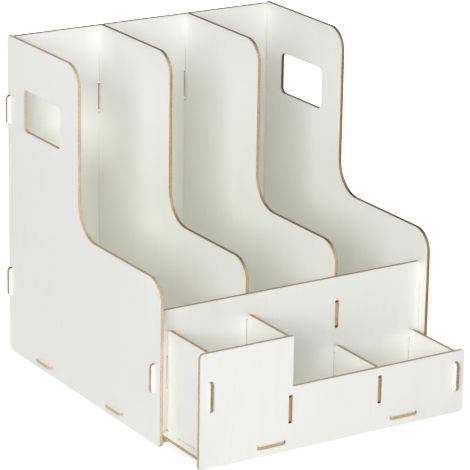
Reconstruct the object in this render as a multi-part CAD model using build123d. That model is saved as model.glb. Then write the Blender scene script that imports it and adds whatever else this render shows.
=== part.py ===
from build123d import *
import os

# A desk organizer for documents with a pen tray in front of it. It plugs together
# from flat boards of thin white-faced fibreboard: tabs on one board pass through
# slots in the next, with no glue and no screws, and nothing on it moves.
# X runs to the right, Y to the back and Z up, in millimetres. Places along Y are
# counted from the front edges of the side panels, and the finished boards are then
# shifted so that the origin lies on the desk under the middle of the organizer.

# Board and joints
BOARD = 3.0                   # thickness of every board
CORNER_RADIUS = 4.0           # plain outer corners of the boards
LONG_TAB = 27.0               # tabs of the outer boards
SHORT_TAB = 22.0              # tabs of the inner boards
TAB_PROUD = 3.5               # how far the outer tabs stand out of their slots
TRAY_TAB_PROUD = 1.8          # the same for the tray floor and the tray's left wall
PROUD_TAB_RADIUS = 3.0        # rounded corners of the tabs that stand out in full
PROUD_SIDE_GAP = 0.05         # gap beside each broad face of a tab that stands out
PROUD_END_GAP = 0.3           # gap at each end of a tab that stands out
PROUD_SLOT_RADIUS = 0.25      # corners of the slots for tabs that stand out
FLUSH_TAB_RADIUS = 0.8        # rounded corners of the tabs that end flush
FLUSH_SIDE_GAP = 0.35         # gap beside each broad face of a tab that ends flush
FLUSH_END_GAP = 2.0           # gap at each end of a tab that ends flush
FLUSH_SLOT_RADIUS = 1.2       # corners of the slots for tabs that end flush

# Side panels and dividers
WIDTH = 280.0                 # over the outer faces of the side panels
SIDE_DEPTH = 277.5            # side panel, front edge to back edge
HEIGHT = 304.5                # side panel, desk to top edge
UPPER_DEPTH = 133.0           # tall rear part of the side panel
LEDGE_HEIGHT = 151.0          # low front part of the side panel
TOP_RADIUS = 20.0             # round top of the tall part
THROAT_RADIUS = 30.0          # hollow curve down to the low part
NOSE_RADIUS = 20.0            # round front of the low part
HOLE_LENGTH = 69.0            # hand hole, along Y
HOLE_HEIGHT = 39.0
HOLE_RADIUS = 5.0
HOLE_DROP = 63.5              # middle of the hand hole, below the top edge
RIGHT_BAY_LESS = 1.4          # right document compartment, narrower than the other two

# Back panel, front panel and base
BACK_INSET = 2.5              # back panel's rear face, ahead of the back edges
BACK_DROP = 1.0               # back panel's top, below the side panels' tops
BACK_TAB_SPREAD = 166.0       # between the lower and the upper tabs
DIVIDER_BACK_TAB = 25.5       # dividers' tabs in the back panel
DIVIDER_TAB_SLACK = 0.8       # room to spare on the left of the dividers' tabs in the back panel
FRONT_RECESS = 9.5            # front panel's face, behind the front edges
FRONT_HEIGHT = 121.5
DIVIDER_TAB_HEIGHT = 86.5     # dividers' tabs in the front panel
FLOOR_HEIGHT = 7.5            # underside of the base and of the tray floor
BASE_TAB_SPREAD = 130.0       # between the front and the rear tabs

# Tray in front of the front panel
TRAY_OVERHANG = 1.0           # tray front's right end, past the right side panel's inner face
TRAY_DEPTH = 66.5             # inside, front to back
TRAY_TALL_HEIGHT = 105.0      # tray front before the pen cup
TRAY_LOW_HEIGHT = 59.0        # the rest of the tray front
TRAY_STEP_OVERHANG = 0.5      # tall part of the tray front, past the pen cup wall
STEP_RADIUS = 1.0             # corners of the step in the tray front
TALL_WALL_HEIGHT = 103.5      # tops of the walls beside the pen cup
LOW_WALL_HEIGHT = 58.0        # tops of the other tray walls
TRAY_FLOOR_INSET = 2.0        # tray floor's ends, in from the tray front's ends
LEFT_WALL_INSET = 9.5         # outer face of the left wall, from the tray front's end
RIGHT_WALL_INSET = 7.5        # outer face of the right wall, from the tray front's end
LEFT_WALL_TAB_HEIGHT = 65.0   # middles of the walls' tabs, above the desk
INNER_WALL_TAB_HEIGHT = 38.5
RIGHT_WALL_TAB_HEIGHT = 35.0
FLOOR_TAB_INSET = 71.9        # middle of the tray floor's left tab, from the tray front's end
FLOOR_TAB_SPREAD = 138.0      # between the tray floor's left and right tabs
FLOOR_TAB_SLACK = 1.0         # room to spare at the right ends of the tray floor's front tabs

# Places that follow from these sizes
INNER_WIDTH = WIDTH - 2 * BOARD
BAY_WIDTH = (INNER_WIDTH - 2 * BOARD + RIGHT_BAY_LESS) / 3
DIVIDER_LEFT_FACES = [-INNER_WIDTH / 2 + BAY_WIDTH + i * (BAY_WIDTH + BOARD) for i in range(2)]
BACK_REAR = SIDE_DEPTH - BACK_INSET
BACK_FACE = BACK_REAR - BOARD
FRONT_REAR = FRONT_RECESS + BOARD
UPPER_FRONT = SIDE_DEPTH - UPPER_DEPTH
BACK_HEIGHT = HEIGHT - BACK_DROP
BACK_TAB_HEIGHTS = [BACK_HEIGHT / 2 + side * BACK_TAB_SPREAD / 2 for side in (-1, 1)]
BASE_TAB_PLACES = [(FRONT_REAR + BACK_FACE) / 2 + side * BASE_TAB_SPREAD / 2 for side in (-1, 1)]
FLOOR_TOP = FLOOR_HEIGHT + BOARD
TRAY_FRONT_REAR = FRONT_RECESS - TRAY_DEPTH
TRAY_FRONT_FACE = TRAY_FRONT_REAR - BOARD
TRAY_MIDDLE = (TRAY_FRONT_REAR + FRONT_RECESS) / 2
TRAY_LEFT = -INNER_WIDTH / 2
TRAY_RIGHT = INNER_WIDTH / 2 + TRAY_OVERHANG
FLOOR_TAB_PLACES = [TRAY_LEFT + FLOOR_TAB_INSET + i * FLOOR_TAB_SPREAD for i in range(2)]
LEFT_WALL_FACE = TRAY_LEFT + LEFT_WALL_INSET
RIGHT_WALL_FACE = TRAY_RIGHT - RIGHT_WALL_INSET - BOARD
STEP_PLACE = DIVIDER_LEFT_FACES[0] + BOARD + TRAY_STEP_OVERHANG
MIDDLE_Y = (TRAY_FRONT_FACE - TAB_PROUD + SIDE_DEPTH) / 2

# Each tray wall: left face, top edge, height of its end tabs, their length,
# and how far the front tab stands out of the tray front
TRAY_WALLS = {
    "tray_left_wall": (LEFT_WALL_FACE, TALL_WALL_HEIGHT, LEFT_WALL_TAB_HEIGHT, LONG_TAB, TRAY_TAB_PROUD),
    "pen_cup_wall": (DIVIDER_LEFT_FACES[0], TALL_WALL_HEIGHT, INNER_WALL_TAB_HEIGHT, SHORT_TAB, 0.0),
    "tray_divider": (DIVIDER_LEFT_FACES[-1], LOW_WALL_HEIGHT, INNER_WALL_TAB_HEIGHT, SHORT_TAB, 0.0),
    "tray_right_wall": (RIGHT_WALL_FACE, LOW_WALL_HEIGHT, RIGHT_WALL_TAB_HEIGHT, LONG_TAB, TAB_PROUD),
}


def outline(*corners):
    """A flat shape from corners given as (across, up, corner radius)."""
    points = [(across, up) for across, up, radius in corners]
    radii = [radius for across, up, radius in corners]
    return make_face(FilletPolyline(*points, radius=radii, close=True))


def plain_rectangle(left, right, bottom, top):
    """A flat rectangle with the plain corner radius."""
    return outline(
        (left, bottom, CORNER_RADIUS),
        (right, bottom, CORNER_RADIUS),
        (right, top, CORNER_RADIUS),
        (left, top, CORNER_RADIUS),
    )


def side_tab(across, up, length, proud=0.0):
    """An upright tab on a left or right edge, centred on that edge."""
    radius = PROUD_TAB_RADIUS * proud / TAB_PROUD if proud else FLUSH_TAB_RADIUS
    return Pos(across, up) * RectangleRounded(2 * (BOARD + proud), length, radius)


def end_tab(across, up, length, proud=0.0):
    """A level tab on a bottom or top edge, centred on that edge."""
    return Pos(across, up) * Rot(0, 0, 90) * side_tab(0, 0, length, proud)


def upright_slot(across, up, length, proud=0.0, slack=0.0):
    """The slot for an upright tab of the given length, with slack on the left of the tab."""
    side_gap = PROUD_SIDE_GAP if proud else FLUSH_SIDE_GAP
    end_gap = PROUD_END_GAP if proud else FLUSH_END_GAP
    radius = PROUD_SLOT_RADIUS if proud else FLUSH_SLOT_RADIUS
    width = BOARD + 2 * side_gap + slack
    return Pos(across - slack / 2, up) * RectangleRounded(width, length + 2 * end_gap, radius)


def level_slot(across, up, length, proud=0.0):
    """The slot for a level tab of the given length."""
    return Pos(across, up) * Rot(0, 0, 90) * upright_slot(0, 0, length, proud)


def board_along(shape, left_face):
    """A board that runs front to back: shape in (Y, Z), left face at the given X."""
    return extrude(Plane.YZ.offset(left_face) * shape, amount=BOARD)


def board_across(shape, rear_face):
    """A board that runs left to right: shape in (X, Z), rear face at the given Y."""
    return extrude(Plane.XZ.offset(-rear_face) * shape, amount=BOARD)


def board_level(shape, underside):
    """A board that lies flat: shape in (X, Y), underside at the given Z."""
    return extrude(Plane.XY.offset(underside) * shape, amount=BOARD)


def stepped_profile(front, rear, bottom):
    """The profile that side panels and dividers share: tall behind, low in front."""
    return outline(
        (front, bottom, CORNER_RADIUS),
        (rear, bottom, CORNER_RADIUS),
        (rear, HEIGHT, CORNER_RADIUS),
        (UPPER_FRONT, HEIGHT, TOP_RADIUS),
        (UPPER_FRONT, LEDGE_HEIGHT, THROAT_RADIUS),
        (front, LEDGE_HEIGHT, NOSE_RADIUS),
    )


def side_panel(left_face):
    """Side panel with its hand hole and the slots for back panel, front panel and base."""
    shape = stepped_profile(0, SIDE_DEPTH, 0)
    hole_place = Pos((UPPER_FRONT + SIDE_DEPTH) / 2, HEIGHT - HOLE_DROP)
    shape -= hole_place * RectangleRounded(HOLE_LENGTH, HOLE_HEIGHT, HOLE_RADIUS)
    for height in BACK_TAB_HEIGHTS:
        shape -= upright_slot(BACK_FACE + BOARD / 2, height, LONG_TAB, TAB_PROUD)
    shape -= upright_slot(FRONT_RECESS + BOARD / 2, FRONT_HEIGHT / 2, LONG_TAB, TAB_PROUD)
    for place in BASE_TAB_PLACES:
        shape -= level_slot(place, FLOOR_HEIGHT + BOARD / 2, LONG_TAB, TAB_PROUD)
    return board_along(shape, left_face)


def divider(left_face):
    """Divider between two document compartments, standing on the base."""
    shape = stepped_profile(FRONT_REAR, BACK_FACE, FLOOR_TOP)
    for height in BACK_TAB_HEIGHTS:
        shape += side_tab(BACK_FACE, height, DIVIDER_BACK_TAB)
    shape += side_tab(FRONT_REAR, DIVIDER_TAB_HEIGHT, SHORT_TAB)
    for place in BASE_TAB_PLACES:
        shape += end_tab(place, FLOOR_TOP, LONG_TAB)
    return board_along(shape, left_face)


def back_panel():
    """Back panel, with two tabs on each side and slots for the dividers."""
    shape = plain_rectangle(-INNER_WIDTH / 2, INNER_WIDTH / 2, 0, BACK_HEIGHT)
    for height in BACK_TAB_HEIGHTS:
        for edge in (-INNER_WIDTH / 2, INNER_WIDTH / 2):
            shape += side_tab(edge, height, LONG_TAB, TAB_PROUD)
        for face in DIVIDER_LEFT_FACES:
            shape -= upright_slot(face + BOARD / 2, height, DIVIDER_BACK_TAB, slack=DIVIDER_TAB_SLACK)
    return board_across(shape, BACK_REAR)


def front_panel():
    """Front panel, with a tab on each side and slots for dividers, walls and tray floor."""
    shape = plain_rectangle(-INNER_WIDTH / 2, INNER_WIDTH / 2, 0, FRONT_HEIGHT)
    for edge in (-INNER_WIDTH / 2, INNER_WIDTH / 2):
        shape += side_tab(edge, FRONT_HEIGHT / 2, LONG_TAB, TAB_PROUD)
    for face in DIVIDER_LEFT_FACES:
        shape -= upright_slot(face + BOARD / 2, DIVIDER_TAB_HEIGHT, SHORT_TAB)
    for face, top, tab_height, tab_length, proud in TRAY_WALLS.values():
        shape -= upright_slot(face + BOARD / 2, tab_height, tab_length)
    for place in FLOOR_TAB_PLACES:
        shape -= level_slot(place, FLOOR_HEIGHT + BOARD / 2, LONG_TAB)
    return board_across(shape, FRONT_REAR)


def base_panel():
    """Base under the documents, with two tabs on each side and slots for the dividers."""
    shape = plain_rectangle(-INNER_WIDTH / 2, INNER_WIDTH / 2, FRONT_REAR, BACK_FACE)
    for place in BASE_TAB_PLACES:
        for edge in (-INNER_WIDTH / 2, INNER_WIDTH / 2):
            shape += side_tab(edge, place, LONG_TAB, TAB_PROUD)
        for face in DIVIDER_LEFT_FACES:
            shape -= upright_slot(face + BOARD / 2, place, LONG_TAB)
    return board_level(shape, FLOOR_HEIGHT)


def tray_front():
    """Tray front, tall before the pen cup and low before the rest of the tray."""
    shape = outline(
        (TRAY_LEFT, 0, CORNER_RADIUS),
        (TRAY_RIGHT, 0, CORNER_RADIUS),
        (TRAY_RIGHT, TRAY_LOW_HEIGHT, CORNER_RADIUS),
        (STEP_PLACE, TRAY_LOW_HEIGHT, STEP_RADIUS),
        (STEP_PLACE, TRAY_TALL_HEIGHT, STEP_RADIUS),
        (TRAY_LEFT, TRAY_TALL_HEIGHT, CORNER_RADIUS),
    )
    for face, top, tab_height, tab_length, proud in TRAY_WALLS.values():
        shape -= upright_slot(face + BOARD / 2, tab_height, tab_length, proud)
    slack_middle = FLOOR_TAB_SLACK / 2
    floor_slot = LONG_TAB + FLOOR_TAB_SLACK
    for place in FLOOR_TAB_PLACES:
        shape -= level_slot(place + slack_middle, FLOOR_HEIGHT + BOARD / 2, floor_slot, TRAY_TAB_PROUD)
    return board_across(shape, TRAY_FRONT_REAR)


def tray_wall(face, top, tab_height, tab_length, proud):
    """Wall of the tray, plugged into the tray front, the front panel and the tray floor."""
    shape = plain_rectangle(TRAY_FRONT_REAR, FRONT_RECESS, FLOOR_TOP, top)
    shape += side_tab(TRAY_FRONT_REAR, tab_height, tab_length, proud)
    shape += side_tab(FRONT_RECESS, tab_height, tab_length)
    shape += end_tab(TRAY_MIDDLE, FLOOR_TOP, SHORT_TAB)
    return board_along(shape, face)


def tray_floor():
    """Tray floor, plugged into the tray front and the front panel."""
    left = TRAY_LEFT + TRAY_FLOOR_INSET
    right = TRAY_RIGHT - TRAY_FLOOR_INSET
    shape = plain_rectangle(left, right, TRAY_FRONT_REAR, FRONT_RECESS)
    for place in FLOOR_TAB_PLACES:
        shape += end_tab(place, TRAY_FRONT_REAR, LONG_TAB, TRAY_TAB_PROUD)
        shape += end_tab(place, FRONT_RECESS, LONG_TAB)
    for face, top, tab_height, tab_length, proud in TRAY_WALLS.values():
        shape -= upright_slot(face + BOARD / 2, TRAY_MIDDLE, SHORT_TAB)
    return board_level(shape, FLOOR_HEIGHT)


boards = {
    "left_side_panel": side_panel(-WIDTH / 2),
    "right_side_panel": side_panel(WIDTH / 2 - BOARD),
    "back_panel": back_panel(),
    "front_panel": front_panel(),
    "base_panel": base_panel(),
    "tray_front": tray_front(),
    "tray_floor": tray_floor(),
}
for name, face in zip(("left_divider", "right_divider"), DIVIDER_LEFT_FACES):
    boards[name] = divider(face)
for name, wall in TRAY_WALLS.items():
    boards[name] = tray_wall(*wall)

os.makedirs("parts", exist_ok=True)
for name, board in boards.items():
    export_step(Pos(0, -MIDDLE_Y, 0) * board, f"parts/{name}.step")
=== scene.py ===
"""Dresses a plug-together document organizer: white filmed boards with bare cut edges, on a studio floor."""
from math import radians

import bmesh
import bpy
from mathutils import Euler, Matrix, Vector
from mathutils.bvhtree import BVHTree


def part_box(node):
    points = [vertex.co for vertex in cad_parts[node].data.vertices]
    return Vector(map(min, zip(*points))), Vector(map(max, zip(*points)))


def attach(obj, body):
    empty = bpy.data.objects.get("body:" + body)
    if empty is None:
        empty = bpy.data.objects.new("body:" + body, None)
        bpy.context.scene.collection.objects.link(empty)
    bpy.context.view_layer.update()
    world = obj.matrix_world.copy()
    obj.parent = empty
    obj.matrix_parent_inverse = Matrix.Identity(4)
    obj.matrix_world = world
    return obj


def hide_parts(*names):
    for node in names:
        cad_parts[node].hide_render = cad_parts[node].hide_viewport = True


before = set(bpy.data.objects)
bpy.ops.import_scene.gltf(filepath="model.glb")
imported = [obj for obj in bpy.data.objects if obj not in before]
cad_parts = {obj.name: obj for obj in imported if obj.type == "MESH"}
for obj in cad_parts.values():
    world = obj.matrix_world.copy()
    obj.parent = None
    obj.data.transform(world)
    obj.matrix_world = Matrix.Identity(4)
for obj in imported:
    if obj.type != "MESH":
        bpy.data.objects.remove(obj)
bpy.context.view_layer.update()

bl_info = {
    "name": "Document organizer",
    "version": (1, 0, 0),
    "blender": (4, 5, 0),
    "location": "3D View > Sidebar > Organizer",
    "description": "Builds a plug-together document organizer from white filmed boards with bare cut edges",
    "category": "Object",
}

# Upright boards that run front to back, boards that run across, and level boards, by the axis through the board.
THROUGH_X, THROUGH_Y, THROUGH_Z = 0, 1, 2

# The other two axes of each kind of board: across the printed grain, and along it.
GRAIN_AXES = {THROUGH_X: (1, 2), THROUGH_Y: (0, 2), THROUGH_Z: (0, 1)}

# Points of the loaded solids that lie closer than this are one point.
MERGE_DISTANCE = 1e-6

# Neighbouring faces that turn less than this are one flat face.
FLAT_ANGLE = radians(1)

# Edges that turn more than this are cut rims, and each is eased in so many steps.
RIM_ANGLE = radians(60)
RIM_STEPS = 2

# A face whose normal lies this close to the board's own axis is flat, or still carries film on its rounding.
FLAT_FACE_COSINE = 0.999
FILM_FACE_COSINE = 0.8

# A cut face no longer than this, with another board in front of it across a gap like these, is the open end of a joint.
JOINT_END_LENGTH = 0.006
NARROWEST_GAP, WIDEST_GAP = 0.001, 0.0025

# How far in front of a cut face the look for the board's own opposite face starts.
OWN_FACE_GAP = 0.0005

# How much of its browning an edge loses where it looks straight up, and how far up it looks before painted shade
# darkens it; the greyer, darker upper edges are painted shade for the weak light from above.
TOP_SHADE_FADING = 0.4
TOP_SHADE_START = 0.45

# How far apart the boards lie on the printed sheet, so that no two show the same grain.
SHEET_STEP = 0.37

# The distances from a board's middle plane between which its bare core browns towards the faces.
SKIN_START, SKIN_END = 0.0009, 0.00155

# How much bare fibres shine, where 0.5 is the usual sheen.
FIBRE_SHEEN = 0.1

# The two material slots of every board.
FILM_SLOT, EDGE_SLOT = 0, 1

# Half the floor's width, how far from the organizer's middle its glow starts to rise, and where it is white.
FLOOR_REACH = 8.0
FLOOR_RISE_START, FLOOR_RISE_END = 0.35, 1.2

# The point near the middle of the organizer that every lamp is turned towards.
LAMP_AIM = Vector((0.0, 0.0, 0.15))

# The width of the camera's sensor in millimetres.
SENSOR_WIDTH = 36.0

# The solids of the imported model, for looking across a joint or a hole.
SOLIDS = {
    name: BVHTree.FromPolygons([vert.co for vert in node.data.vertices], [face.vertices for face in node.data.polygons])
    for name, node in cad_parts.items()
}


class BoardSettings(bpy.types.PropertyGroup):
    """The board's rims, film and bare core."""

    rim_easing: bpy.props.FloatProperty(
        name="Rim easing", description="Width of the tiny rounding along every cut rim",
        default=0.00015, min=0.00002, max=0.0004, precision=5, subtype="DISTANCE", unit="LENGTH")
    scorch_width: bpy.props.FloatProperty(
        name="Scorch width", description="How far the heat of the cut has tinted the film beside a rim",
        default=0.0006, min=0.0001, max=0.001, precision=5, subtype="DISTANCE", unit="LENGTH")
    scorch_strength: bpy.props.FloatProperty(
        name="Scorch strength", description="How strongly the film is tinted beside a rim",
        default=0.3, min=0.0, max=1.0, subtype="FACTOR")
    # The film stain beside a darkened edge is smoke at the joint ends and painted shade beside upper edges and the hand
    # hole.
    smoke_and_shade_strength: bpy.props.FloatProperty(
        name="Smoke strength", description="How strongly the film is stained beside a sooty edge",
        default=0.45, min=0.0, max=1.0, subtype="FACTOR")
    film_colour: bpy.props.FloatVectorProperty(
        name="Film colour", description="Colour of the printed white film on the boards' broad faces",
        default=(0.91, 0.914, 0.864), min=0.0, max=1.0, size=3, subtype="COLOR")
    film_roughness: bpy.props.FloatProperty(
        name="Film roughness", description="Middle roughness of the film",
        default=0.46, min=0.0, max=1.0, subtype="FACTOR")
    grain_strength: bpy.props.FloatProperty(
        name="Printed grain", description="How much darker the faint printed wood grain is than the film",
        default=0.02, min=0.0, max=0.3, subtype="FACTOR")
    core_colour: bpy.props.FloatVectorProperty(
        name="Core colour", description="Colour of the clean fibres on a cut edge",
        default=(0.75, 0.6, 0.36), min=0.0, max=1.0, size=3, subtype="COLOR")
    char_colour: bpy.props.FloatVectorProperty(
        name="Char colour", description="Colour of the fibres that the cut has browned",
        default=(0.32, 0.136, 0.02), min=0.0, max=1.0, size=3, subtype="COLOR")
    # This colour is soot in the joint ends, and painted shade on upper edges and inside the hand hole.
    soot_and_shade_colour: bpy.props.FloatVectorProperty(
        name="Soot colour", description="Colour of the soot in the ends of the joints and on upper edges",
        default=(0.06, 0.034, 0.01), min=0.0, max=1.0, size=3, subtype="COLOR")


class StageSettings(bpy.types.PropertyGroup):
    """The camera, the lamps and the floor."""

    camera_place: bpy.props.FloatVectorProperty(
        name="Camera place", description="Where the camera stands",
        default=(-1.26149706, -2.00216298, 0.92574533), size=3, subtype="TRANSLATION", unit="LENGTH")
    camera_turn: bpy.props.FloatVectorProperty(
        name="Camera turn", description="The camera's rotation",
        default=(1.25003248, -0.01577765, -0.55714101), size=3, subtype="EULER", unit="ROTATION")
    camera_lens: bpy.props.FloatProperty(
        name="Camera lens", description="Focal length in millimetres, for a square picture on a 36 mm sensor",
        default=211.956, min=1.0, unit="CAMERA")
    key_power: bpy.props.FloatProperty(
        name="Key power", description="Power of the wide soft lamp in front on the left",
        default=138.0, min=0.0, unit="POWER")
    high_power: bpy.props.FloatProperty(
        name="High lamp power", description="Power of the soft lamp high in front",
        default=25.0, min=0.0, unit="POWER")
    rear_power: bpy.props.FloatProperty(
        name="Rear lamp power", description="Power of the large soft lamp high behind on the right",
        default=18.5, min=0.0, unit="POWER")
    top_power: bpy.props.FloatProperty(
        name="Top lamp power", description="Power of the soft lamp straight above",
        default=5.6, min=0.0, unit="POWER")
    near_power: bpy.props.FloatProperty(
        name="Near lamp power", description="Power of the small soft lamp close above the left compartment",
        default=0.56, min=0.0, precision=3, unit="POWER")
    tray_power: bpy.props.FloatProperty(
        name="Tray lamp power", description="Power of the small soft lamp close above the tray's left end",
        default=0.48, min=0.0, precision=3, unit="POWER")
    fill_power: bpy.props.FloatProperty(
        name="Fill power", description="Power of the low soft lamp straight in front",
        default=6.1, min=0.0, unit="POWER")
    back_power: bpy.props.FloatProperty(
        name="Back lamp power", description="Power of the low soft lamp behind on the right, for the sides turned away",
        default=55.0, min=0.0, unit="POWER")
    lamp_colour: bpy.props.FloatVectorProperty(
        name="Lamp colour", description="Colour of the light of every lamp",
        default=(0.97, 0.974, 1.0), min=0.0, max=1.0, size=3, subtype="COLOR")
    ambient: bpy.props.FloatProperty(
        name="Ambient light", description="Strength of the even light from all round",
        default=0.03, min=0.0)
    light_bounces: bpy.props.IntProperty(
        name="Light bounces", description="How often light bounces between the white boards of a deep compartment",
        default=12, min=1, max=12)
    floor_colour: bpy.props.FloatVectorProperty(
        name="Floor colour", description="Colour of the studio floor",
        default=(0.9, 0.9, 0.9), min=0.0, max=1.0, size=3, subtype="COLOR")
    floor_glow: bpy.props.FloatProperty(
        name="Floor glow", description="How far the floor near the organizer is lifted towards white where it is seen",
        default=0.5, min=0.0, max=1.0, subtype="FACTOR")


def new_node(tree, kind, x, y, **values):
    """Adds a node of that kind at (x, y) in the tree and sets its own values."""
    node = tree.nodes.new(kind)
    node.location = (x, y)
    for name, value in values.items():
        setattr(node, name, value)
    return node


def tone_drift_group():
    """Slow drift of a colour over a surface, as in a print or a pressed board: the colour goes in and comes out."""
    name = "Tone drift"
    if name in bpy.data.node_groups:
        return bpy.data.node_groups[name]
    tree = bpy.data.node_groups.new(name, "ShaderNodeTree")
    face = tree.interface
    face.new_socket("Place", in_out="INPUT", socket_type="NodeSocketVector")
    face.new_socket("Color", in_out="INPUT", socket_type="NodeSocketColor")
    face.new_socket("Scale", in_out="INPUT", socket_type="NodeSocketFloat")
    face.new_socket("Amount", in_out="INPUT", socket_type="NodeSocketFloat")
    face.new_socket("Color", in_out="OUTPUT", socket_type="NodeSocketColor")
    start = new_node(tree, "NodeGroupInput", -600, 0)
    noise = new_node(tree, "ShaderNodeTexNoise", -400, 150)
    noise.inputs["Detail"].default_value = 3.0
    centred = new_node(tree, "ShaderNodeMath", -200, 150, operation="SUBTRACT")
    centred.inputs[1].default_value = 0.5
    swing = new_node(tree, "ShaderNodeMath", 0, 150, operation="MULTIPLY_ADD")
    swing.inputs[2].default_value = 1.0
    tinted = new_node(tree, "ShaderNodeVectorMath", 200, 0, operation="SCALE")
    end = new_node(tree, "NodeGroupOutput", 400, 0)
    join = tree.links.new
    join(start.outputs["Place"], noise.inputs["Vector"])
    join(start.outputs["Scale"], noise.inputs["Scale"])
    join(noise.outputs["Fac"], centred.inputs[0])
    join(centred.outputs[0], swing.inputs[0])
    join(start.outputs["Amount"], swing.inputs[1])
    join(start.outputs["Color"], tinted.inputs[0])
    join(swing.outputs[0], tinted.inputs["Scale"])
    join(tinted.outputs[0], end.inputs["Color"])
    return tree


def fine_grain_group():
    """Fine tooth of a surface: a roughness that wanders about its middle value, and a height for a bump."""
    name = "Fine grain"
    if name in bpy.data.node_groups:
        return bpy.data.node_groups[name]
    tree = bpy.data.node_groups.new(name, "ShaderNodeTree")
    face = tree.interface
    face.new_socket("Place", in_out="INPUT", socket_type="NodeSocketVector")
    face.new_socket("Scale", in_out="INPUT", socket_type="NodeSocketFloat")
    face.new_socket("Middle", in_out="INPUT", socket_type="NodeSocketFloat")
    face.new_socket("Spread", in_out="INPUT", socket_type="NodeSocketFloat")
    face.new_socket("Roughness", in_out="OUTPUT", socket_type="NodeSocketFloat")
    face.new_socket("Height", in_out="OUTPUT", socket_type="NodeSocketFloat")
    start = new_node(tree, "NodeGroupInput", -600, 0)
    noise = new_node(tree, "ShaderNodeTexNoise", -400, 100)
    noise.inputs["Detail"].default_value = 4.0
    noise.inputs["Roughness"].default_value = 0.6
    centred = new_node(tree, "ShaderNodeMath", -200, 100, operation="SUBTRACT")
    centred.inputs[1].default_value = 0.5
    wander = new_node(tree, "ShaderNodeMath", 0, 100, operation="MULTIPLY_ADD", use_clamp=True)
    end = new_node(tree, "NodeGroupOutput", 200, 0)
    join = tree.links.new
    join(start.outputs["Place"], noise.inputs["Vector"])
    join(start.outputs["Scale"], noise.inputs["Scale"])
    join(noise.outputs["Fac"], centred.inputs[0])
    join(centred.outputs[0], wander.inputs[0])
    join(start.outputs["Spread"], wander.inputs[1])
    join(start.outputs["Middle"], wander.inputs[2])
    join(wander.outputs[0], end.inputs["Roughness"])
    join(noise.outputs["Fac"], end.inputs["Height"])
    return tree


def new_material(name):
    """A material with nodes and its Principled shader, or None as the shader where the material is made already."""
    if name in bpy.data.materials:
        return bpy.data.materials[name], None
    material = bpy.data.materials.new(name)
    material.use_nodes = True
    return material, material.node_tree.nodes["Principled BSDF"]


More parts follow.
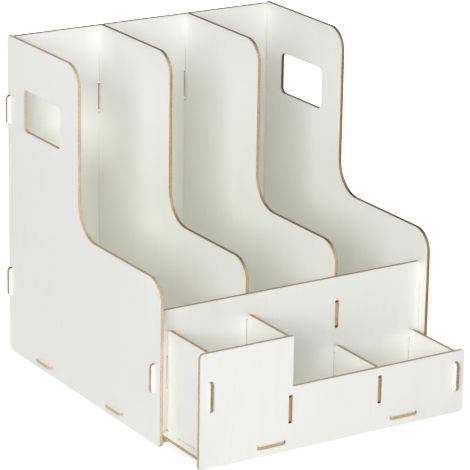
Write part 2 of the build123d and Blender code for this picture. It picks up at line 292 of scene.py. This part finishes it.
def white_film(settings):
    """White film with a faint printed grain, a fine tooth, a scorched line beside every cut, and a dark line beside
    darkened edges: smoke beside the joint ends, painted shade beside upper edges and the hand hole.
    """
    material, shader = new_material("white_film")
    if shader is None:
        return material
    tree = material.node_tree
    join = tree.links.new
    place = new_node(tree, "ShaderNodeAttribute", -1500, 200, attribute_name="board_place")
    rim = new_node(tree, "ShaderNodeAttribute", -1500, -500, attribute_name="rim")
    smoke_and_shade = new_node(tree, "ShaderNodeAttribute", -650, -650, attribute_name="smoke_and_shade")

    stretch = new_node(tree, "ShaderNodeMapping", -1300, 450)
    stretch.inputs["Scale"].default_value = (1.0, 1.0, 0.055)
    grain = new_node(tree, "ShaderNodeTexNoise", -1100, 450)
    grain.inputs["Scale"].default_value = 420.0
    grain.inputs["Detail"].default_value = 4.0
    grain.inputs["Distortion"].default_value = 0.6
    streaks = new_node(tree, "ShaderNodeMapRange", -900, 450, interpolation_type="SMOOTHSTEP")
    streaks.inputs["From Min"].default_value = 0.45
    streaks.inputs["From Max"].default_value = 0.78
    streaks.inputs["To Min"].default_value = 1.0
    streaks.inputs["To Max"].default_value = 1.0 - settings.grain_strength

    drift = new_node(tree, "ShaderNodeGroup", -900, 150, node_tree=tone_drift_group())
    drift.inputs["Color"].default_value = (*settings.film_colour, 1.0)
    drift.inputs["Scale"].default_value = 9.0
    drift.inputs["Amount"].default_value = 0.05
    printed = new_node(tree, "ShaderNodeVectorMath", -650, 300, operation="SCALE")

    blotch = new_node(tree, "ShaderNodeTexNoise", -1100, -400)
    blotch.inputs["Scale"].default_value = 160.0
    blotch.inputs["Detail"].default_value = 2.0
    uneven = new_node(tree, "ShaderNodeMapRange", -900, -400)
    uneven.inputs["From Min"].default_value = 0.35
    uneven.inputs["From Max"].default_value = 0.7
    uneven.inputs["To Max"].default_value = settings.scorch_strength
    scorch = new_node(tree, "ShaderNodeMath", -650, -400, operation="MULTIPLY")
    coloured = new_node(tree, "ShaderNodeMix", -400, 200, data_type="RGBA")
    coloured.inputs["B"].default_value = (*settings.core_colour, 1.0)
    # Stain beside darkened edges: smoke at joint ends, painted shade beside upper edges and the hand hole.
    stain_and_shade = new_node(tree, "ShaderNodeMath", -400, -450, operation="MULTIPLY")
    stain_and_shade.inputs[1].default_value = settings.smoke_and_shade_strength
    stained_and_shaded = new_node(tree, "ShaderNodeMix", -200, 200, data_type="RGBA")
    stained_and_shaded.inputs["B"].default_value = (*settings.soot_and_shade_colour, 1.0)

    tooth = new_node(tree, "ShaderNodeGroup", -650, -50, node_tree=fine_grain_group())
    tooth.inputs["Scale"].default_value = 900.0
    tooth.inputs["Middle"].default_value = settings.film_roughness
    tooth.inputs["Spread"].default_value = 0.16
    bump = new_node(tree, "ShaderNodeBump", -400, -200)
    bump.inputs["Strength"].default_value = 0.12
    bump.inputs["Distance"].default_value = 0.0001

    join(place.outputs["Vector"], stretch.inputs["Vector"])
    join(stretch.outputs["Vector"], grain.inputs["Vector"])
    join(grain.outputs["Fac"], streaks.inputs["Value"])
    join(place.outputs["Vector"], drift.inputs["Place"])
    join(drift.outputs["Color"], printed.inputs[0])
    join(streaks.outputs["Result"], printed.inputs["Scale"])
    join(place.outputs["Vector"], blotch.inputs["Vector"])
    join(blotch.outputs["Fac"], uneven.inputs["Value"])
    join(rim.outputs["Fac"], scorch.inputs[0])
    join(uneven.outputs["Result"], scorch.inputs[1])
    join(scorch.outputs[0], coloured.inputs["Factor"])
    join(printed.outputs[0], coloured.inputs["A"])
    join(smoke_and_shade.outputs["Fac"], stain_and_shade.inputs[0])
    join(stain_and_shade.outputs[0], stained_and_shaded.inputs["Factor"])
    join(coloured.outputs["Result"], stained_and_shaded.inputs["A"])
    join(stained_and_shaded.outputs["Result"], shader.inputs["Base Color"])
    join(place.outputs["Vector"], tooth.inputs["Place"])
    join(tooth.outputs["Roughness"], shader.inputs["Roughness"])
    join(tooth.outputs["Height"], bump.inputs["Height"])
    join(bump.outputs["Normal"], shader.inputs["Normal"])
    return material


def cut_edge(settings):
    """Bare fibreboard on a cut edge: streaks of the cut across the board, browner towards both faces, with soot in the
    joint ends, where the shade of the narrow gap is painted in too, and painted shade on upper edges and inside the
    hand hole.
    """
    material, shader = new_material("cut_edge")
    if shader is None:
        return material
    tree = material.node_tree
    join = tree.links.new
    place = new_node(tree, "ShaderNodeAttribute", -1500, 200, attribute_name="board_place")
    browning = new_node(tree, "ShaderNodeAttribute", -900, -250, attribute_name="browning")
    soot_and_shade = new_node(tree, "ShaderNodeAttribute", -350, 0, attribute_name="soot_and_shade")

    stretch = new_node(tree, "ShaderNodeMapping", -1300, 400)
    stretch.inputs["Scale"].default_value = (1.0, 0.2, 1.0)
    fibre = new_node(tree, "ShaderNodeTexNoise", -1100, 400)
    fibre.inputs["Scale"].default_value = 1300.0
    fibre.inputs["Detail"].default_value = 3.0
    streaks = new_node(tree, "ShaderNodeMapRange", -900, 400)
    streaks.inputs["From Min"].default_value = 0.3
    streaks.inputs["From Max"].default_value = 0.7
    streaks.inputs["To Min"].default_value = -0.2
    streaks.inputs["To Max"].default_value = 0.2

    parted = new_node(tree, "ShaderNodeSeparateXYZ", -1300, 50)
    depth = new_node(tree, "ShaderNodeMath", -1100, 50, operation="ABSOLUTE")
    skin = new_node(tree, "ShaderNodeMapRange", -900, 50, interpolation_type="SMOOTHSTEP")
    skin.inputs["From Min"].default_value = SKIN_START
    skin.inputs["From Max"].default_value = SKIN_END
    skin.inputs["To Max"].default_value = 0.3
    uneven = new_node(tree, "ShaderNodeMath", -650, 250, operation="ADD")
    browned = new_node(tree, "ShaderNodeMath", -500, 150, operation="ADD", use_clamp=True)
    core = new_node(tree, "ShaderNodeMix", -350, 250, data_type="RGBA")
    core.inputs["A"].default_value = (*settings.core_colour, 1.0)
    core.inputs["B"].default_value = (*settings.char_colour, 1.0)
    # Soot in the joint ends, painted shade on upper edges and inside the hand hole.
    soot_and_shade_mix = new_node(tree, "ShaderNodeMix", -180, 250, data_type="RGBA")
    soot_and_shade_mix.inputs["B"].default_value = (*settings.soot_and_shade_colour, 1.0)
    drift = new_node(tree, "ShaderNodeGroup", -20, 200, node_tree=tone_drift_group())
    drift.inputs["Scale"].default_value = 70.0
    drift.inputs["Amount"].default_value = 0.4

    tooth = new_node(tree, "ShaderNodeGroup", -400, -100, node_tree=fine_grain_group())
    tooth.inputs["Scale"].default_value = 2600.0
    tooth.inputs["Middle"].default_value = 0.82
    tooth.inputs["Spread"].default_value = 0.25
    bump = new_node(tree, "ShaderNodeBump", -200, -300)
    bump.inputs["Strength"].default_value = 0.5
    bump.inputs["Distance"].default_value = 0.0001

    join(place.outputs["Vector"], stretch.inputs["Vector"])
    join(stretch.outputs["Vector"], fibre.inputs["Vector"])
    join(fibre.outputs["Fac"], streaks.inputs["Value"])
    join(place.outputs["Vector"], parted.inputs["Vector"])
    join(parted.outputs["Y"], depth.inputs[0])
    join(depth.outputs[0], skin.inputs["Value"])
    join(streaks.outputs["Result"], uneven.inputs[0])
    join(skin.outputs["Result"], uneven.inputs[1])
    join(uneven.outputs[0], browned.inputs[0])
    join(browning.outputs["Fac"], browned.inputs[1])
    join(browned.outputs[0], core.inputs["Factor"])
    join(place.outputs["Vector"], drift.inputs["Place"])
    join(soot_and_shade.outputs["Fac"], soot_and_shade_mix.inputs["Factor"])
    join(core.outputs["Result"], soot_and_shade_mix.inputs["A"])
    join(soot_and_shade_mix.outputs["Result"], drift.inputs["Color"])
    join(drift.outputs["Color"], shader.inputs["Base Color"])
    join(place.outputs["Vector"], tooth.inputs["Place"])
    join(tooth.outputs["Roughness"], shader.inputs["Roughness"])
    join(tooth.outputs["Height"], bump.inputs["Height"])
    join(bump.outputs["Normal"], shader.inputs["Normal"])
    shader.inputs["Specular IOR Level"].default_value = FIBRE_SHEEN
    return material


def eased_copy(node, easing):
    """A closed copy of a CAD node's solid, with its cut rims eased."""
    shape = bmesh.new()
    shape.from_mesh(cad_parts[node].data)
    bmesh.ops.remove_doubles(shape, verts=shape.verts[:], dist=MERGE_DISTANCE)
    bmesh.ops.dissolve_limit(shape, angle_limit=FLAT_ANGLE, verts=shape.verts[:], edges=shape.edges[:],
                             delimit={"NORMAL"})
    shape.normal_update()
    rims = [edge for edge in shape.edges if edge.is_manifold and edge.calc_face_angle() > RIM_ANGLE]
    if not rims:
        raise RuntimeError(node + " has no cut rims to ease")
    bmesh.ops.bevel(shape, geom=rims, offset=easing, offset_type="OFFSET", segments=RIM_STEPS, profile=0.5,
                    affect="EDGES", clamp_overlap=False, material=-1)
    shape.normal_update()
    return shape


def ends_a_joint(face, node):
    """Whether a cut face of a node lies in the open end of a joint, where soot stays and the shade of the narrow gap is
    painted in.
    """
    if max(edge.calc_length() for edge in face.edges) > JOINT_END_LENGTH:
        return False
    start = face.calc_center_median()
    gaps = [solid.ray_cast(start, face.normal, WIDEST_GAP)[3] for name, solid in SOLIDS.items() if name != node]
    return any(gap is not None and gap > NARROWEST_GAP for gap in gaps)


def painted_edge_shade(node, start, outward, top_painted_shade, hole_painted_shade):
    """How much painted shade is on a node's cut edge that looks outward from the point start, from 0 to 1: on edges
    that look up, and inside the board's own hole.
    """
    # Painted shade on upper edges, for the weak light from above.
    soot_and_shade = top_painted_shade * max(0.0, outward.z - TOP_SHADE_START) / (1.0 - TOP_SHADE_START)
    # Painted shade inside the board's own hole, where the edge looks across at the board itself.
    own_face = SOLIDS[node].ray_cast(start + outward * OWN_FACE_GAP, outward)[3]
    return soot_and_shade if own_face is None else max(soot_and_shade, hole_painted_shade)


def mark_faces(shape, node, axis, browning, top_painted_shade, hole_painted_shade):
    """Gives each face of a board its material, browning, and painted shade on upper edges and inside the hand hole, and
    returns the flat faces that carry film.
    """
    shape.faces.layers.float.new("browning")
    shape.faces.layers.float.new("soot_and_shade")
    browned, soot_and_shade_layer = shape.faces.layers.float["browning"], shape.faces.layers.float["soot_and_shade"]
    flat = []
    for face in shape.faces:
        facing = abs(face.normal[axis])
        face.material_index = FILM_SLOT if facing > FILM_FACE_COSINE else EDGE_SLOT
        if facing > FLAT_FACE_COSINE:
            flat.append(face)
            continue
        outward = face.normal.copy()
        outward[axis] = 0.0
        outward.normalize()
        face.smooth = face.material_index == EDGE_SLOT
        # Upper edges lose browning and take painted shade, so they look greyer and darker, as if dimly lit from above.
        face[browned] = browning * (1.0 - TOP_SHADE_FADING * max(0.0, outward.z))
        face[soot_and_shade_layer] = painted_edge_shade(node, face.calc_center_median(), outward, top_painted_shade, hole_painted_shade)
    return flat


def mark_points(shape, node, axis, sheet_row):
    """Gives each point of a board its place on the printed sheet, its scorch beside a cut rim, and the stain beside a
    darkened edge, which is smoke beside joint ends and painted shade beside upper edges and the hand hole.
    """
    low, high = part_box(node)
    middle = (low[axis] + high[axis]) / 2
    across, along = GRAIN_AXES[axis]
    shape.verts.layers.float.new("rim")
    shape.verts.layers.float.new("smoke_and_shade")
    rim, smoke_and_shade = shape.verts.layers.float["rim"], shape.verts.layers.float["smoke_and_shade"]
    place = shape.verts.layers.float_vector.new("board_place")
    soot_and_shade_layer = shape.faces.layers.float["soot_and_shade"]
    for vert in shape.verts:
        vert[place] = Vector((vert.co[across] + sheet_row * SHEET_STEP, vert.co[axis] - middle, vert.co[along]))
        vert[rim] = float(any(abs(face.normal[axis]) < FLAT_FACE_COSINE for face in vert.link_faces))
        # The film beside an edge takes that edge's soot and painted shade.
        vert[smoke_and_shade] = max(face[soot_and_shade_layer] for face in vert.link_faces)


def blacken_joint_ends(shape, node):
    """Puts full soot on the faces in the open ends of a board's joints, which also paints in the shade of the narrow
    gap.
    """
    soot_and_shade_layer = shape.faces.layers.float["soot_and_shade"]
    for face in shape.faces:
        if face.material_index == EDGE_SLOT and ends_a_joint(face, node):
            # Full soot, with the shade of the narrow gap painted in.
            face[soot_and_shade_layer] = 1.0


def dress_board(context, node, axis, browning, top_painted_shade, sheet_row, hole_painted_shade=0.0):
    """Makes the board that stands for a CAD node: rims eased, film on the broad faces, bare core on the cut edges.

    axis is the axis through the board, browning how brown its cut edges are, from 0 to 1, top_painted_shade how much
    painted shade is on those that look up, hole_painted_shade how much painted shade is inside its hand hole, and
    sheet_row its place on the printed sheet.
    """
    settings = context.scene.organizer_board
    shape = eased_copy(node, settings.rim_easing)
    flat = mark_faces(shape, node, axis, browning, top_painted_shade, hole_painted_shade)
    bmesh.ops.inset_region(shape, faces=flat, thickness=settings.scorch_width, use_even_offset=True, use_boundary=True)
    mark_points(shape, node, axis, sheet_row)
    blacken_joint_ends(shape, node)

    mesh = bpy.data.meshes.new(node + "_board")
    shape.to_mesh(mesh)
    shape.free()
    mesh.materials.append(white_film(settings))
    mesh.materials.append(cut_edge(settings))
    board = bpy.data.objects.new(node + "_board", mesh)
    context.scene.collection.objects.link(board)
    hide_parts(node)
    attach(board, "root")


class ORGANIZER_OT_side_panels(bpy.types.Operator):
    """The two stepped outer panels with their hand holes"""

    bl_idname = "organizer.side_panels"
    bl_label = "Side panels"

    def execute(self, context):
        # top_painted_shade is painted shade on upward edges, hole_painted_shade painted shade inside the hand hole.
        dress_board(context, "left_side_panel", THROUGH_X, browning=0.06, top_painted_shade=0.48, sheet_row=0)
        # The right panel's hand hole has painted shade on its edges.
        dress_board(context, "right_side_panel", THROUGH_X, browning=0.85, top_painted_shade=1.0, sheet_row=1, hole_painted_shade=0.6)
        return {"FINISHED"}


class ORGANIZER_OT_dividers(bpy.types.Operator):
    """The two stepped boards between the document compartments"""

    bl_idname = "organizer.dividers"
    bl_label = "Dividers"

    def execute(self, context):
        dress_board(context, "left_divider", THROUGH_X, browning=0.42, top_painted_shade=0.78, sheet_row=2)
        dress_board(context, "right_divider", THROUGH_X, browning=0.38, top_painted_shade=0.85, sheet_row=3)
        return {"FINISHED"}


class ORGANIZER_OT_back_panel(bpy.types.Operator):
    """The board that closes the document compartments behind"""

    bl_idname = "organizer.back_panel"
    bl_label = "Back panel"

    def execute(self, context):
        dress_board(context, "back_panel", THROUGH_Y, browning=0.8, top_painted_shade=1.0, sheet_row=4)
        return {"FINISHED"}


class ORGANIZER_OT_base_panel(bpy.types.Operator):
    """The floor under the documents"""

    bl_idname = "organizer.base_panel"
    bl_label = "Base panel"

    def execute(self, context):
        dress_board(context, "base_panel", THROUGH_Z, browning=0.06, top_painted_shade=0.0, sheet_row=5)
        return {"FINISHED"}


class ORGANIZER_OT_front_panel(bpy.types.Operator):
    """The low wall between the document compartments and the tray"""

    bl_idname = "organizer.front_panel"
    bl_label = "Front panel"

    def execute(self, context):
        dress_board(context, "front_panel", THROUGH_Y, browning=0.5, top_painted_shade=0.5, sheet_row=6)
        return {"FINISHED"}


class ORGANIZER_OT_tray_front(bpy.types.Operator):
    """The stepped front of the tray"""

    bl_idname = "organizer.tray_front"
    bl_label = "Tray front"

    def execute(self, context):
        dress_board(context, "tray_front", THROUGH_Y, browning=0.3, top_painted_shade=0.4, sheet_row=7)
        return {"FINISHED"}


class ORGANIZER_OT_tray_walls(bpy.types.Operator):
    """The four walls that part the tray"""

    bl_idname = "organizer.tray_walls"
    bl_label = "Tray walls"

    def execute(self, context):
        walls = ("tray_left_wall", "pen_cup_wall", "tray_divider", "tray_right_wall")
        for number, wall in enumerate(walls):
            dress_board(context, wall, THROUGH_X, browning=0.66, top_painted_shade=0.3, sheet_row=8 + number)
        return {"FINISHED"}


class ORGANIZER_OT_tray_floor(bpy.types.Operator):
    """The floor of the tray"""

    bl_idname = "organizer.tray_floor"
    bl_label = "Tray floor"

    def execute(self, context):
        dress_board(context, "tray_floor", THROUGH_Z, browning=0.36, top_painted_shade=0.0, sheet_row=12)
        return {"FINISHED"}


def seen_rays(tree):
    """A socket that is 1 for rays that show a surface, straight or in gloss or glass, and 0 for rays that light one."""
    path = new_node(tree, "ShaderNodeLightPath", -900, -200)
    mirrored = new_node(tree, "ShaderNodeMath", -700, -250, operation="ADD")
    seen = new_node(tree, "ShaderNodeMath", -500, -200, operation="ADD", use_clamp=True)
    tree.links.new(path.outputs["Is Glossy Ray"], mirrored.inputs[0])
    tree.links.new(path.outputs["Is Transmission Ray"], mirrored.inputs[1])
    tree.links.new(path.outputs["Is Camera Ray"], seen.inputs[0])
    tree.links.new(mirrored.outputs[0], seen.inputs[1])
    return seen.outputs[0]


def studio_floor(settings):
    """Pale floor that is lifted to white where it is seen, and still takes the shadow near the organizer."""
    material, shader = new_material("studio_floor")
    if shader is None:
        return material
    tree = material.node_tree
    place = new_node(tree, "ShaderNodeTexCoord", -1300, 200)
    drift = new_node(tree, "ShaderNodeGroup", -300, 200, node_tree=tone_drift_group())
    drift.inputs["Color"].default_value = (*settings.floor_colour, 1.0)
    drift.inputs["Scale"].default_value = 2.0
    drift.inputs["Amount"].default_value = 0.02
    reach = new_node(tree, "ShaderNodeVectorMath", -900, 0, operation="LENGTH")
    rise = new_node(tree, "ShaderNodeMapRange", -600, 0)
    rise.inputs["From Min"].default_value = FLOOR_RISE_START
    rise.inputs["From Max"].default_value = FLOOR_RISE_END
    rise.inputs["To Min"].default_value = settings.floor_glow
    rise.inputs["To Max"].default_value = 1.0
    glow = new_node(tree, "ShaderNodeMath", -300, -200, operation="MULTIPLY")
    tree.links.new(place.outputs["Object"], drift.inputs["Place"])
    tree.links.new(drift.outputs["Color"], shader.inputs["Base Color"])
    tree.links.new(place.outputs["Object"], reach.inputs[0])
    tree.links.new(reach.outputs["Value"], rise.inputs["Value"])
    tree.links.new(rise.outputs["Result"], glow.inputs[1])
    tree.links.new(seen_rays(tree), glow.inputs[0])
    tree.links.new(glow.outputs[0], shader.inputs["Emission Strength"])
    shader.inputs["Emission Color"].default_value = (1.0, 1.0, 1.0, 1.0)
    shader.inputs["Roughness"].default_value = 0.9
    return material


def soft_lamp(context, name, place, width, height, power, shows_in_gloss=True):
    """A soft lamp of that width and height at a place, turned towards the organizer and hidden from the camera."""
    light = bpy.data.lights.new(name, "AREA")
    light.shape = "RECTANGLE"
    light.size = width
    light.size_y = height
    light.energy = power
    light.color = context.scene.organizer_stage.lamp_colour
    lamp = bpy.data.objects.new(name, light)
    lamp.location = place
    lamp.rotation_euler = (LAMP_AIM - Vector(place)).to_track_quat("-Z", "Y").to_euler()
    lamp.visible_camera = False
    lamp.visible_glossy = shows_in_gloss
    context.scene.collection.objects.link(lamp)


class ORGANIZER_OT_stage(bpy.types.Operator):
    """The floor, the lamps, the surrounding light and the camera"""

    bl_idname = "organizer.stage"
    bl_label = "Stage"

    def execute(self, context):
        settings = context.scene.organizer_stage
        shape = bmesh.new()
        bmesh.ops.create_grid(shape, x_segments=1, y_segments=1, size=FLOOR_REACH)
        mesh = bpy.data.meshes.new("studio_floor")
        shape.to_mesh(mesh)
        shape.free()
        mesh.materials.append(studio_floor(settings))
        floor = bpy.data.objects.new("studio_floor", mesh)
        context.scene.collection.objects.link(floor)

        soft_lamp(context, "key_lamp", place=(-3.68, -2.98, 1.74), width=2.4, height=2.2, power=settings.key_power)
        soft_lamp(context, "high_lamp", place=(-0.93, -3.47, 3.62), width=1.5, height=1.5, power=settings.high_power)
        soft_lamp(context, "rear_lamp", place=(0.72, 1.24, 2.2), width=1.2, height=1.2, power=settings.rear_power)
        soft_lamp(context, "top_lamp", place=(0.0, 0.0, 2.3), width=1.0, height=1.0, power=settings.top_power)
        soft_lamp(context, "near_lamp", place=(-0.33, 0.1, 0.7), width=0.4, height=0.4, power=settings.near_power,
                  shows_in_gloss=False)
        soft_lamp(context, "tray_lamp", place=(-0.22, -0.45, 0.5), width=0.2, height=0.2, power=settings.tray_power,
                  shows_in_gloss=False)
        soft_lamp(context, "fill_lamp", place=(0.21, -2.42, 0.75), width=1.0, height=0.9, power=settings.fill_power)
        soft_lamp(context, "back_lamp", place=(2.6, 2.4, 0.25), width=1.5, height=0.45, power=settings.back_power)

        world = bpy.data.worlds.new("studio_surround")
        world.use_nodes = True
        tree = world.node_tree
        background = tree.nodes["Background"]
        background.inputs["Color"].default_value = (1.0, 1.0, 1.0, 1.0)
        strength = new_node(tree, "ShaderNodeMapRange", -300, -200)
        strength.inputs["To Min"].default_value = settings.ambient
        strength.inputs["To Max"].default_value = 1.0
        tree.links.new(seen_rays(tree), strength.inputs["Value"])
        tree.links.new(strength.outputs["Result"], background.inputs["Strength"])
        context.scene.world = world

        camera = bpy.data.cameras.new("photo_camera")
        camera.sensor_width = SENSOR_WIDTH
        camera.lens = settings.camera_lens
        tripod = bpy.data.objects.new("photo_camera", camera)
        tripod.location = settings.camera_place
        tripod.rotation_euler = Euler(settings.camera_turn)
        context.scene.collection.objects.link(tripod)
        context.scene.camera = tripod
        context.scene.cycles.diffuse_bounces = settings.light_bounces
        context.scene.view_settings.view_transform = "Standard"
        return {"FINISHED"}


class ORGANIZER_PT_build(bpy.types.Panel):
    """Lists the organizer's boards and its stage in the sidebar"""

    bl_idname = "ORGANIZER_PT_build"
    bl_label = "Document organizer"
    bl_space_type = "VIEW_3D"
    bl_region_type = "UI"
    bl_category = "Organizer"

    def draw(self, context):
        for settings in (context.scene.organizer_board, context.scene.organizer_stage):
            box = self.layout.box()
            for name in settings.__annotations__:
                box.prop(settings, name)
        for operator in OPERATORS:
            self.layout.operator(operator.bl_idname)


OPERATORS = (
    ORGANIZER_OT_side_panels,
    ORGANIZER_OT_dividers,
    ORGANIZER_OT_back_panel,
    ORGANIZER_OT_base_panel,
    ORGANIZER_OT_front_panel,
    ORGANIZER_OT_tray_front,
    ORGANIZER_OT_tray_walls,
    ORGANIZER_OT_tray_floor,
    ORGANIZER_OT_stage,
)
CLASSES = (BoardSettings, StageSettings, *OPERATORS, ORGANIZER_PT_build)


def register():
    """Registers every class and gives the scene its settings."""
    for item in CLASSES:
        bpy.utils.register_class(item)
    bpy.types.Scene.organizer_board = bpy.props.PointerProperty(type=BoardSettings)
    bpy.types.Scene.organizer_stage = bpy.props.PointerProperty(type=StageSettings)


def unregister():
    """Takes the settings and every class away again."""
    del bpy.types.Scene.organizer_stage
    del bpy.types.Scene.organizer_board
    for item in reversed(CLASSES):
        bpy.utils.unregister_class(item)


def main():
    """Builds the organizer and its stage."""
    register()
    bpy.ops.organizer.side_panels()
    bpy.ops.organizer.dividers()
    bpy.ops.organizer.back_panel()
    bpy.ops.organizer.base_panel()
    bpy.ops.organizer.front_panel()
    bpy.ops.organizer.tray_front()
    bpy.ops.organizer.tray_walls()
    bpy.ops.organizer.tray_floor()
    bpy.ops.organizer.stage()


if __name__ == "__main__":
    main()
